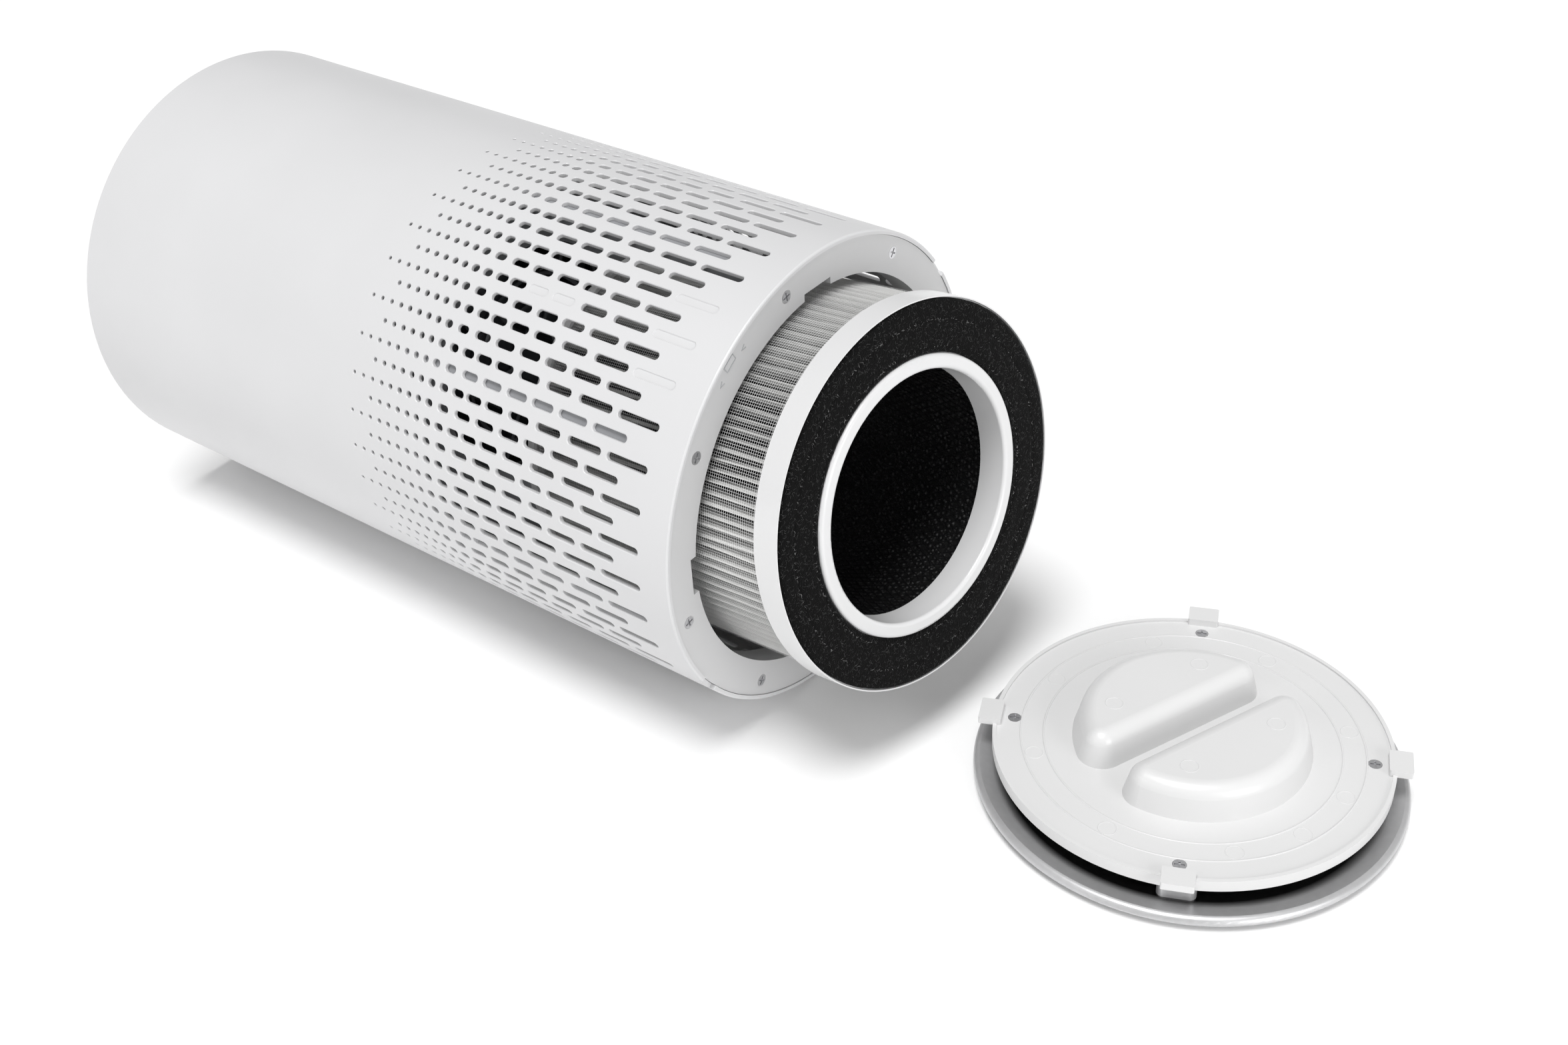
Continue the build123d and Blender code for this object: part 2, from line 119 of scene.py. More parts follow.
def lathe(profile, steps, phase=0.0):
    """Verts and faces of a closed profile turned about X. Angles start at -Y, towards +Z."""
    verts, faces = [], []
    for step in range(steps):
        turn = phase + math.tau * step / steps
        verts += [(x, -r * math.cos(turn), r * math.sin(turn)) for x, r in profile]
    count = len(profile)
    for step in range(steps):
        here, there = step * count, (step + 1) % steps * count
        for i in range(count):
            j = (i + 1) % count
            faces.append((here + i, here + j, there + j, there + i))
    return verts, faces


def steps_between(start, end, count):
    """Evenly spaced values from start to end, both included."""
    return [start + (end - start) * i / (count - 1) for i in range(count)]


def outward(piece):
    """Makes a closed piece's faces point outwards."""
    work = bmesh.new()
    work.from_mesh(piece.data)
    bmesh.ops.recalc_face_normals(work, faces=work.faces)
    work.to_mesh(piece.data)
    work.free()
    return piece


# %% [markdown]
# ## Helpers for node trees
# One function adds a node with its settings and its links, in geometry and in materials alike.
# A geometry tree gets named inputs. The finished tree is evaluated once and kept as plain mesh.

# %% Node helpers
MATH, VECTOR_MATH = "ShaderNodeMath", "ShaderNodeVectorMath"


def add(tree, kind, links=None, **settings):
    """Add a node. links sets its inputs: from a node's first output, an output or a value."""
    node = tree.nodes.new(kind)
    for key, value in settings.items():
        setattr(node, key, value)
    for socket, value in (links or {}).items():
        target = node.inputs[socket]
        if isinstance(value, bpy.types.Node):
            value = value.outputs[0]
        if isinstance(value, bpy.types.NodeSocket):
            tree.links.new(value, target)
        else:
            target.default_value = value
    return node


SOCKETS = {"i": "NodeSocketInt", "f": "NodeSocketFloat", "o": "NodeSocketObject"}


def geometry_tree(name, **inputs):
    """A geometry tree with named inputs: each is a socket letter and a starting value."""
    tree = bpy.data.node_groups.new(name, "GeometryNodeTree")
    tree.interface.new_socket(name="Geometry", in_out="OUTPUT", socket_type="NodeSocketGeometry")
    tree.interface.new_socket(name="Geometry", in_out="INPUT", socket_type="NodeSocketGeometry")
    for label, (letter, value) in inputs.items():
        socket = tree.interface.new_socket(name=label, in_out="INPUT",
                                           socket_type=SOCKETS[letter])
        if value is not None:
            socket.default_value = value
    return tree, add(tree, "NodeGroupInput").outputs


def finish_tree(tree, geometry, material):
    """Realize Instances, Set Material, output."""
    real = add(tree, "GeometryNodeRealizeInstances", {0: geometry})
    painted = add(tree, "GeometryNodeSetMaterial", {0: real, "Material": material})
    add(tree, "NodeGroupOutput", {0: painted})


def grow(piece, tree, **values):
    """Evaluate a tree on a piece and keep the result as its plain mesh."""
    modifier = piece.modifiers.new(tree.name, "NODES")
    modifier.node_group = tree
    for socket in tree.interface.items_tree:
        if socket.in_out == "INPUT" and socket.name in values:
            modifier[socket.identifier] = values[socket.name]
    graph = bpy.context.evaluated_depsgraph_get()
    mesh = bpy.data.meshes.new_from_object(piece.evaluated_get(graph))
    piece.modifiers.clear()
    piece.data = mesh
    mesh.name = piece.name
    print(piece.name, "faces", len(mesh.polygons))
    return piece


def seed_piece(name):
    """An empty mesh for a tree to grow from."""
    return new_piece(name, [], [], Matrix())


# %% [markdown]
# ## Helpers for materials
# Colours are written as sRGB hex and turned to linear. Moulded plastic is the common case here:
# ABS with a fine spark-eroded grain from its mould, slightly uneven in gloss.

# %% Colour and plain moulded plastic
def linear(hex_colour):
    """sRGB hex to linear RGBA."""
    parts = [int(hex_colour[i:i + 2], 16) / 255 for i in (0, 2, 4)]
    return [c / 12.92 if c <= 0.04045 else ((c + 0.055) / 1.055) ** 2.4 for c in parts] + [1.0]


def new_material(name):
    material = bpy.data.materials.new(name)
    material.use_nodes = True
    tree = material.node_tree
    shader = tree.nodes["Principled BSDF"]
    place = add(tree, "ShaderNodeTexCoord").outputs["Object"]
    return material, tree, shader, place


def grain(tree, shader, place, size_mm, depth_mm, detail=3.0, strength=0.5):
    """Noise of a real size as a bump on the shader's normal."""
    noise = add(tree, "ShaderNodeTexNoise",
                {"Vector": place, "Scale": 1 / (size_mm * MM), "Detail": detail})
    bump = add(tree, "ShaderNodeBump", {"Height": noise.outputs["Fac"], "Strength": strength,
                                        "Distance": depth_mm * MM})
    tree.links.new(bump.outputs[0], shader.inputs["Normal"])
    return noise.outputs["Fac"]


def blotches(tree, place, size_mm, dark, light):
    """A colour that wanders between two hex values over a real distance."""
    noise = add(tree, "ShaderNodeTexNoise",
                {"Vector": place, "Scale": 1 / (size_mm * MM), "Detail": 2.0})
    return add(tree, "ShaderNodeMix", {0: noise.outputs["Fac"], 6: linear(dark),
                                       7: linear(light)}, data_type="RGBA").outputs[2]


def moulded(name, dark, light, roughness, grain_mm=0.5, depth_mm=0.02, coat=0.0):
    """Moulded ABS: near-even colour, satin to gloss, fine mould grain."""
    material, tree, shader, place = new_material(name)
    tree.links.new(blotches(tree, place, 60, dark, light), shader.inputs["Base Color"])
    smudge_mm = 22.2
    smudge = add(tree, "ShaderNodeTexNoise", {"Vector": place, "Scale": 1 / (smudge_mm * MM),
                                              "Detail": 3.0})
    gloss = add(tree, "ShaderNodeMapRange", {"Value": smudge.outputs["Fac"],
                "To Min": roughness - 0.05, "To Max": roughness + 0.05})
    tree.links.new(gloss.outputs[0], shader.inputs["Roughness"])
    shader.inputs["IOR"].default_value = 1.53
    shader.inputs["Coat Weight"].default_value = coat
    shader.inputs["Coat Roughness"].default_value = 0.12
    grain(tree, shader, place, grain_mm, depth_mm)
    return material


shell_white = moulded("satin_white_abs_shell", "D0D0D1", "D6D6D7", 0.40)
ring_grey = moulded("matt_light_grey_abs_ring", "C8C8C8", "CECECF", 0.48)
cap_white = moulded("gloss_white_abs_cap", "D8D8D9", "DFDFDF", 0.24, coat=0.15)
cover_white = moulded("satin_white_abs_cover", "D6D6D6", "DCDCDC", 0.30, coat=0.1)
frame_grey = moulded("grey_abs_bay_frame", "8C8D90", "98999C", 0.55)
fan_grey = moulded("dark_grey_abs_fan", "34363A", "3D3F43", 0.50)
button_grey = moulded("soft_grey_abs_buttons", "A4A6A9", "ACAEB1", 0.45)
mark_grey = moulded("lock_mark_grey_abs", "A9AAAC", "B0B1B3", 0.5)
print("plastics made")

# %% [markdown]
# ## Metals
# The screws are zinc-plated steel: bright, slightly mottled. The dish is sprayed with satin
# silver paint: aluminium flakes in a clear binder, so it is only partly metallic. The motor's can
# is phosphated, which leaves it dark, and its shaft is ground bright. All keep the default IOR.

# %% Zinc, silver paint, motor can and ground steel
def metal(name, dark, light, roughness, grain_mm, depth_mm):
    material, tree, shader, place = new_material(name)
    shader.inputs["Metallic"].default_value = 1.0
    tree.links.new(blotches(tree, place, 6 * grain_mm, dark, light), shader.inputs["Base Color"])
    height = grain(tree, shader, place, grain_mm, depth_mm)
    gloss = add(tree, "ShaderNodeMapRange", {"Value": height, "To Min": roughness - 0.07,
                                             "To Max": roughness + 0.07})
    tree.links.new(gloss.outputs[0], shader.inputs["Roughness"])
    return material


zinc = metal("zinc_plated_steel_screws", "CACACC", "E2E2E4", 0.38, 0.8, 0.02)
motor_grey = metal("phosphated_steel_motor_can", "4C4E52", "5B5D61", 0.45, 1.0, 0.02)
shaft_steel = metal("ground_steel_shaft", "A8A8AA", "C0C0C2", 0.22, 0.5, 0.01)
dish_silver = metal("satin_silver_painted_dish", "C0C0C1", "CCCCCD", 0.40, 0.6, 0.015)
print("metals made")

# %% [markdown]
# The well under the disc is coloured near black: painted shade for the deep shadow in the gap
# between the disc and the dish. The well is where a point is both near the dish's middle and
# near the height of the well's floor.

# %% Painted shade in the dish's well
well_radius, well_shade_fades = 85 * MM, 90 * MM
well_height, well_reach = 4 * MM, 2.2 * MM
tree = dish_silver.node_tree
shader = tree.nodes["Principled BSDF"]
shader.inputs["Metallic"].default_value = 0.6
painted = shader.inputs["Base Color"].links[0].from_socket
from_middle = add(tree, VECTOR_MATH, {
    0: add(tree, "ShaderNodeTexCoord").outputs["Object"], 1: tuple(cover_centre)},
    operation="SUBTRACT")
flat = add(tree, VECTOR_MATH, {0: from_middle, 1: (1, 1, 0)}, operation="MULTIPLY")
reach_out = add(tree, VECTOR_MATH, {0: flat}, operation="LENGTH")
shade_near_middle = add(tree, "ShaderNodeMapRange", {0: reach_out.outputs["Value"], 1: well_radius,
                                        2: well_shade_fades, 3: 1.0, 4: 0.0})
up_from_floor = add(tree, "ShaderNodeSeparateXYZ", {0: from_middle}).outputs[2]
well_floor = add(tree, MATH, {0: up_from_floor, 1: well_height, 2: well_reach},
                 operation="COMPARE")
# Painted shade: the well under the disc is coloured near black for the shadow in the gap between
# disc and dish.
painted_well_shade = add(tree, MATH, {0: shade_near_middle, 1: well_floor}, operation="MULTIPLY")
well_with_painted_shade = add(tree, "ShaderNodeMix", {0: painted_well_shade, 6: painted, 7: linear("0B0B0B")},
              data_type="RGBA")
tree.links.new(well_with_painted_shade.outputs[2], shader.inputs["Base Color"])
print("well radius", well_radius, "height", well_height)

# %% [markdown]
# ## Rubber, boards and carbon
# EPDM rubber is nearly black and dull. The circuit boards are FR4 under green solder mask. The
# carbon bed is packed pellets about 2 mm across: Voronoi cells give their domed heads.

# %% Rubber, board and carbon
rubber = moulded("black_epdm_rubber", "161617", "1E1E1F", 0.72, 0.8, 0.03)
foam = moulded("grey_open_cell_foam", "4E4F51", "5C5D5F", 0.9, 0.6, 0.3)
board_green = moulded("green_solder_mask_fr4", "0F4A2C", "14573A", 0.35, 2.0, 0.01)

carbon, tree, shader, place = new_material("activated_carbon_pellets")
cells = add(tree, "ShaderNodeTexVoronoi", {"Vector": place, "Scale": 1 / (2.2 * MM)})
shade = add(tree, "ShaderNodeMapRange", {"Value": cells.outputs["Distance"], "From Max": 0.6,
                                         "To Min": 1.0, "To Max": 0.0})
# Painted shade: the colour is darker at the cells' edges, between the pellets, than on their
# heads.
tone = add(tree, "ShaderNodeMix", {0: shade, 6: linear("060606"),
                                   7: linear("1C1C1D")}, data_type="RGBA")
bump = add(tree, "ShaderNodeBump", {"Height": shade, "Distance": 0.8 * MM})
tree.links.new(tone.outputs[2], shader.inputs["Base Color"])
tree.links.new(bump.outputs[0], shader.inputs["Normal"])
shader.inputs["Roughness"].default_value = 0.55
print("dark materials made")

# %% [markdown]
# ## Filter media
# The pleats are melt-blown paper: matt white and faintly fibrous. Painted shade deepens from a
# fold's edge to its valley, where the deep folds get little light. The net over them is white
# polypropylene thread and the sleeve in the bore black polyethylene, glossier than the felt round
# it. Paper and felt both change with the distance from the cartridge's axis, so one helper
# measures that.

# %% Distance from the cartridge's axis
def cartridge_radius(tree, place):
    """How far a point is from the cartridge's own axis."""
    back = cartridge_frame.inverted()
    inside = add(tree, "ShaderNodeMapping", {"Vector": place, "Location": tuple(back.translation),
                                             "Rotation": tuple(back.to_euler())})
    across = add(tree, VECTOR_MATH, {0: inside, 1: (0, 1, 1)}, operation="MULTIPLY")
    return add(tree, VECTOR_MATH, {0: across}, operation="LENGTH").outputs["Value"]


print("cartridge axis leans", round(math.degrees(lean), 2), "degrees")

# %% Paper, thread and black mesh
valley_shade_radius, unshaded_radius = 78.5 * MM, 87 * MM
paper, tree, shader, place = new_material("white_melt_blown_paper")
stretch = add(tree, "ShaderNodeMapping", {"Vector": place, "Scale": (0.35, 1.0, 1.0)})
fibrous = blotches(tree, stretch.outputs[0], 5, "DCDCDA", "F2F2F0")
# Painted shade: the paper is coloured darker from a fold's edge towards its valley.
deep = add(tree, "ShaderNodeMapRange", {0: cartridge_radius(tree, place), 1: valley_shade_radius,
                                        2: unshaded_radius, 3: 1.0, 4: 0.0})
valley_shaded_paper = add(tree, "ShaderNodeMix", {0: deep, 6: fibrous, 7: linear("1E1E1D")}, data_type="RGBA")
tree.links.new(valley_shaded_paper.outputs[2], shader.inputs["Base Color"])
grain(tree, shader, stretch.outputs[0], 0.8, 0.08)
shader.inputs["Roughness"].default_value = 0.85

thread = moulded("white_polypropylene_thread", "E6E6E6", "F4F4F4", 0.45, 0.4, 0.02)
mesh_black = moulded("black_polyethylene_mesh", "131314", "1E1E1F", 0.24, 0.6, 0.02)
print("paper and mesh made")

# %% [markdown]
# The felt is black needled polyester. Its loose fibres catch the light: a faint sheen at grazing
# angles and real fibres on top give that. Two rings pressed into it show as paler fibres.

# %% Felt and its loose fibres
pressed_rings = (68.5 * MM, 80.3 * MM)
pale_half_width = 0.45 * MM
felt, tree, shader, place = new_material("black_needled_polyester_felt")
clumps = add(tree, "ShaderNodeTexNoise", {"Vector": place, "Scale": 1 / (3.5 * MM),
                                          "Detail": 6.0, "Roughness": 0.7})
tone = add(tree, "ShaderNodeMix", {0: clumps.outputs["Fac"], 6: linear("020202"),
                                   7: linear("0C0C0C")}, data_type="RGBA")
tree.links.new(tone.outputs[2], shader.inputs["Base Color"])
grain(tree, shader, place, 0.7, 0.5, detail=5.0, strength=0.9)
shader.inputs["Roughness"].default_value = 0.95
shader.inputs["Specular IOR Level"].default_value = 0.08
shader.inputs["Sheen Weight"].default_value = 0.04
shader.inputs["Sheen Roughness"].default_value = 0.5

fibre, tree, shader, place = new_material("loose_polyester_fibre")
shade = blotches(tree, place, 4, "080808", "5C5C5C")
radius = cartridge_radius(tree, place)
for ring in pressed_rings:
    near = add(tree, MATH, {0: radius, 1: ring, 2: pale_half_width}, operation="COMPARE")
    shade = add(tree, "ShaderNodeMix", {0: near, 6: shade, 7: linear("9C9C9C")},
                data_type="RGBA").outputs[2]
tree.links.new(shade, shader.inputs["Base Color"])
shader.inputs["Roughness"].default_value = 0.6
print("felt made")

# %% [markdown]
# ## Shell: a white tube with 38 pairs of columns of holes
# Real shells of this kind are moulded in one piece. Small round holes near the outlet grow along
# each column into long slots near the base, and every second column is shifted, so that the rows
# lie like bricks. One column of punches of each kind is built here, and geometry nodes turn the
# punches round the tube and cut them out with a Boolean. The tube has two flat strips for each
# column, so that a hole never crosses a strip's edge, and its normals are then set from the
# true cylinder, so that it shades as round.

# %% The tube before it is cut
column_pairs = 38
strip_angle = math.tau / (4 * column_pairs)
first_column = math.radians(39.35)
wall = 2.2 * MM
rim_round = 0.8 * MM
inner_radius = shell_radius - wall
tube_profile = [(0, inner_radius), (0, shell_radius - rim_round),
                (-0.3 * rim_round, shell_radius - 0.3 * rim_round),
                (-rim_round, shell_radius)]
far_end = [(-shell_length - x, r) for x, r in reversed(tube_profile)]
verts, faces = lathe(tube_profile + far_end, 4 * column_pairs, first_column + strip_angle / 2)
shell = outward(new_piece("perforated_shell", verts, faces, Matrix()))
print("tube strips", 4 * column_pairs)

# %% [markdown]
# A punch is a closed plug in the shape of its hole, flared at the outer surface by a third of a
# millimetre, as the moulded edge is. A groove is the same plug that stops inside the wall.

# %% One punch for each hole of a column
hole_flare = 0.35 * MM
punch_stands_out = 0.12 * MM
groove_depth = 0.5 * MM
steps_of_dot, steps_of_slot = 12, 16


def slot_outline(length, width, steps):
    """Points round a slot that lies along x. A round hole is a slot as long as it is wide."""
    radius, points = width / 2, []
    for step in range(steps):
        turn = math.tau * (step + 0.5) / steps
        shift = math.copysign((length - width) / 2, math.cos(turn))
        points.append((shift + radius * math.cos(turn), radius * math.sin(turn)))
    return points


def punch_column(name, holes, depth):
    """Closed plugs for holes given as (place along, length, width), pointing to -Y."""
    verts, faces = [], []
    for x, length, width in holes:
        steps = steps_of_dot if length < width * 1.05 else steps_of_slot
        rings = ((shell_radius - depth, 0.0), (shell_radius - hole_flare, 0.0),
                 (shell_radius + punch_stands_out, 2 * (hole_flare + punch_stands_out)))
        start = len(verts)
        for radius, extra in rings:
            outline = slot_outline(length + extra, width + extra, steps)
            verts += [(x + u, -radius, w) for u, w in outline]
        for ring in range(2):
            for i in range(steps):
                j = (i + 1) % steps
                a, b = start + ring * steps, start + (ring + 1) * steps
                faces.append((a + i, a + j, b + j, b + i))
        faces.append([start + i for i in reversed(range(steps))])
        faces.append([start + 2 * steps + i for i in range(steps)])
    punches = outward(new_piece(name, verts, faces, Matrix()))
    punches.hide_render = True
    return punches


# Places and lengths are in parts of the shell's radius, from the base rim.
long_holes = ((-0.357, 0.170), (-0.544, 0.145), (-0.701, 0.112), (-0.837, 0.107), (-0.970, 0.100),
              (-1.091, 0.084), (-1.198, 0.058), (-1.279, 0.041))
long_holes_between = ((-0.647, 0.128), (-1.046, 0.084), (-1.133, 0.064), (-1.212, 0.048),
                      (-1.280, 0.040))
round_rows = (-1.339, -1.394, -1.448, -1.502, -1.554, -1.608, -1.662, -1.715)
round_rows_between = (-1.340, -1.394, -1.448, -1.502, -1.555, -1.609)
first_slot_between = ((-0.246, 0.200), (-0.460, 0.169))
mid_slots_between = ((-0.803, 0.109), (-0.936, 0.098))
narrow_mm, wide_mm = 1.8, 3.8
narrow_at, wide_at = -1.715, -1.275


def hole_width(place):
    """Holes widen evenly from the far row to where the slots start."""
    share = (place - narrow_at) / (wide_at - narrow_at)
    return MM * min(wide_mm, narrow_mm + (wide_mm - narrow_mm) * share)


def holes_from(slots, dots=()):
    """Places, lengths and widths in metres. A slot is never shorter than it is wide."""
    sized = [(x * shell_radius, max(length * shell_radius, hole_width(x)), hole_width(x))
             for x, length in slots]
    return sized + [(x * shell_radius, hole_width(x), hole_width(x)) for x in dots]


through = wall + 1.5 * MM
between_slots = long_holes_between + first_slot_between[1:]
punches = {}
for label, holes, depth in (
        ("Column", holes_from(long_holes, round_rows), through),
        ("Between", holes_from(between_slots, round_rows_between), through),
        ("First_slot", holes_from(first_slot_between[:1]), through),
        ("First_groove", holes_from(first_slot_between[:1]), groove_depth),
        ("Mid_slots", holes_from(mid_slots_between), through),
        ("Mid_grooves", holes_from(mid_slots_between), groove_depth)):
    punches[label] = punch_column("punch_" + label.lower(), holes, depth)
print("holes in a column", len(long_holes) + len(round_rows))

# %% [markdown]
# Two notches in the rim let a lever in, and a hole lets the cord gland through. They are punched
# with the rest. The tree's inputs are the punches and their count.

# %% Notch and gland punches
def plug(name, low, high):
    """A closed box punch."""
    verts = [(x, y, z) for x in (low[0], high[0]) for y in (low[1], high[1])
             for z in (low[2], high[2])]
    faces = [(0, 1, 3, 2), (4, 6, 7, 5), (0, 4, 5, 1), (2, 3, 7, 6), (0, 2, 6, 4), (1, 5, 7, 3)]
    punch = outward(new_piece(name, verts, faces, Matrix()))
    punch.hide_render = True
    return punch


notch_depth, notch_half_width = 3 * MM, 6 * MM
inside_reach, clear = 4 * MM, 2 * MM
notch_angle = math.radians(-36)
punches["Notch"] = plug("punch_rim_notch",
                        (-notch_depth, -shell_radius - clear, -notch_half_width),
                        (clear, -shell_radius + inside_reach, notch_half_width))

gland_radius, gland_half_length, near_axis = 5.2 * MM, 10 * MM, 0.1 * MM
gland_angle = math.radians(225)
gland_low, gland_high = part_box("cord_gland")
gland_place = (gland_low[0] + gland_high[0]) / 2 - rim_centre.x
gland_verts, gland_faces = lathe(
    [(-gland_half_length, near_axis), (-gland_half_length, gland_radius),
     (gland_half_length, gland_radius), (gland_half_length, near_axis)], 24)
quarter = Matrix.Rotation(math.pi / 2, 4, "Z")
gland_frame = Matrix.Translation((gland_place, -shell_radius, 0)) @ quarter
punches["Gland"] = outward(new_piece("punch_gland", gland_verts, gland_faces, gland_frame))
punches["Gland"].hide_render = True
print("gland hole", round(-gland_place, 4), "m from the base rim")

# %% The tree that turns the punches round the tube and cuts
def ring_of(tree, source, count, first, pitch):
    """Instances of one object turned about X: count of them, from an angle, pitch apart."""
    points = add(tree, "GeometryNodeMeshLine", {"Count": count, "Offset": (0, 0, 0)})
    number = add(tree, "GeometryNodeInputIndex").outputs[0]
    turn = add(tree, MATH, {0: number, 1: -pitch, 2: -first}, operation="MULTIPLY_ADD")
    spin = add(tree, "ShaderNodeCombineXYZ", {"X": turn})
    shape = add(tree, "GeometryNodeObjectInfo", {0: source}).outputs["Geometry"]
    return add(tree, "GeometryNodeInstanceOnPoints",
               {"Points": points, "Instance": shape, "Rotation": spin}).outputs[0]


tree, given = geometry_tree("turn_and_cut_punches", Pairs=("i", column_pairs),
                            **{label: ("o", None) for label in punches})
pitch = math.tau / column_pairs
between_angle = first_column + pitch / 2
blind_first, blind_mid = 3, 1
groups = [
    ring_of(tree, given["Column"], given["Pairs"], first_column, pitch),
    ring_of(tree, given["Between"], given["Pairs"], between_angle, pitch),
    ring_of(tree, given["First_groove"], blind_first, between_angle, pitch),
    ring_of(tree, given["First_slot"], column_pairs - blind_first,
            between_angle + blind_first * pitch, pitch),
    ring_of(tree, given["Mid_grooves"], blind_mid, between_angle + pitch, pitch),
    ring_of(tree, given["Mid_slots"], column_pairs - blind_mid,
            between_angle + (1 + blind_mid) * pitch, pitch),
    ring_of(tree, given["Notch"], 2, notch_angle, math.pi),
    ring_of(tree, given["Gland"], 1, gland_angle, pitch)]
joined = add(tree, "GeometryNodeJoinGeometry")
for group in groups:
    tree.links.new(group, joined.inputs[0])
plugs = add(tree, "GeometryNodeRealizeInstances", {0: joined})
cut = add(tree, "GeometryNodeMeshBoolean", {"Mesh 1": given["Geometry"], "Mesh 2": plugs},
          operation="DIFFERENCE", solver="MANIFOLD")
print("rings of punches", len(groups))

# %% [markdown]
# The cut tube is a set of flat strips. A corner on the outer wall gets the cylinder's own
# direction as its normal, one on the inner wall the opposite, and a hole's wall keeps its own.

# %% True cylinder normals, then the finished shell
where = add(tree, "GeometryNodeInputPosition").outputs[0]
away = add(tree, VECTOR_MATH, {0: where, 1: (0, 1, 1)}, operation="MULTIPLY")
away = add(tree, VECTOR_MATH, {0: away}, operation="NORMALIZE").outputs[0]
facing = add(tree, "GeometryNodeInputNormal").outputs[0]
facing = add(tree, "GeometryNodeFieldOnDomain", {0: facing}, domain="FACE",
             data_type="FLOAT_VECTOR").outputs[0]
match = add(tree, VECTOR_MATH, {0: facing, 1: away}, operation="DOT_PRODUCT").outputs["Value"]
sign = add(tree, MATH, {0: match}, operation="SIGN").outputs[0]
size = add(tree, MATH, {0: match}, operation="ABSOLUTE").outputs[0]
wall_match = 0.97
on_wall = add(tree, MATH, {0: size, 1: wall_match}, operation="GREATER_THAN").outputs[0]
signed = add(tree, VECTOR_MATH, {0: away, "Scale": sign}, operation="SCALE")
chosen = add(tree, "GeometryNodeSwitch", {0: on_wall, 1: facing, 2: signed},
             input_type="VECTOR").outputs[0]
shaded = add(tree, "GeometryNodeSetMeshNormal", {"Mesh": cut.outputs["Mesh"],
             "Custom Normal": chosen}, mode="FREE", domain="CORNER")
moved = add(tree, "GeometryNodeTransform", {0: shaded, "Translation": tuple(rim_centre)})
finish_tree(tree, moved.outputs[0], shell_white)
grow(shell, tree, **punches)
for used in punches.values():
    bpy.data.objects.remove(used)
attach(shell, "housing")
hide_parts("outer_shell")

# %% [markdown]
# ## Pleats
# The paper is one strip folded into 108 pleats and bent into a ring, so its section is a zigzag.
# A flat grid bent round the axis gives that: its long side becomes the angle, and a ping-pong of
# the angle gives the radius. A little noise makes the folds uneven, as hand-set paper is.

# %% Zigzag paper pack from a bent grid
pleat_count = 108
pack_low, pack_high = -165 * MM, -5 * MM
fold_outer, fold_inner = 87.3 * MM, 71.0 * MM


def bent_grid(tree, columns, rows):
    """A unit grid, with its two coordinates counted from 0 to 1."""
    grid = add(tree, "GeometryNodeMeshGrid", {"Size X": 1.0, "Size Y": 1.0,
               "Vertices X": columns, "Vertices Y": rows}).outputs[0]
    where = add(tree, "GeometryNodeInputPosition").outputs[0]
    half = add(tree, VECTOR_MATH, {0: where, 1: (0.5, 0.5, 0)}, operation="ADD")
    split = add(tree, "ShaderNodeSeparateXYZ", {0: half}).outputs
    return grid, split[0], split[1]


def along_pack(tree, share):
    """A place along X, from a share of the pack's length."""
    return add(tree, MATH, {0: share, 1: pack_high - pack_low, 2: pack_low},
               operation="MULTIPLY_ADD")


def wrap(tree, grid, turn, radius, x):
    """Places a grid's points at an angle (from -Y, towards +Z), a radius and a place along X."""
    y = add(tree, MATH, {0: add(tree, MATH, {0: turn}, operation="COSINE"), 1: -1.0},
            operation="MULTIPLY")
    y = add(tree, MATH, {0: y, 1: radius}, operation="MULTIPLY")
    z = add(tree, MATH, {0: add(tree, MATH, {0: turn}, operation="SINE"), 1: radius},
            operation="MULTIPLY")
    place = add(tree, "ShaderNodeCombineXYZ", {0: x, 1: y, 2: z})
    return add(tree, "GeometryNodeSetPosition", {"Geometry": grid, "Position": place}).outputs[0]


def into_frame(tree, geometry, place):
    """Moves geometry from its own frame to its place in the model."""
    turn = place.to_euler()
    return add(tree, "GeometryNodeTransform", {0: geometry, "Rotation": tuple(turn),
               "Translation": tuple(place.translation)}).outputs[0]


print("fold depth", round(fold_outer - fold_inner, 4))

# %% [markdown]
# The lean of a fold comes from noise that is read on a circle, so that it meets itself after one
# turn. It is weaker at a fold's outer edge, where the net holds it.

# %% Fold the paper
wander_round, wander_along = 14.0, 2.5
most_lean, lean_fades = 0.055, 1.6
tree, given = geometry_tree("fold_paper", Pleats=("i", pleat_count), Outer=("f", fold_outer),
                            Inner=("f", fold_inner))
grid, u, v = bent_grid(tree, pleat_count * 6 + 1, 12)
turn = add(tree, MATH, {0: u, 1: math.tau}, operation="MULTIPLY")
folds = add(tree, MATH, {0: u, 1: given["Pleats"]}, operation="MULTIPLY")
folds = add(tree, MATH, {0: folds, 1: 2.0}, operation="MULTIPLY")
fold = add(tree, MATH, {0: folds, 1: 1.0}, operation="PINGPONG")
depth = add(tree, MATH, {0: given["Outer"], 1: given["Inner"]}, operation="SUBTRACT")
radius = add(tree, MATH, {0: fold, 1: depth, 2: given["Inner"]}, operation="MULTIPLY_ADD")
x = along_pack(tree, v)
around = add(tree, "ShaderNodeCombineXYZ", {0: add(tree, MATH, {0: turn}, operation="SINE"),
                                            1: add(tree, MATH, {0: turn}, operation="COSINE"),
                                            2: v})
around = add(tree, VECTOR_MATH, {0: around, 1: (wander_round, wander_round, wander_along)},
             operation="MULTIPLY")
uneven = add(tree, "ShaderNodeTexNoise", {"Vector": around, "Scale": 1.0, "Detail": 1.0})
sway = add(tree, MATH, {0: uneven, 1: 0.5}, operation="SUBTRACT")
sway = add(tree, MATH, {0: sway, 1: most_lean}, operation="MULTIPLY")
held = add(tree, MATH, {0: lean_fades, 1: fold}, operation="SUBTRACT")
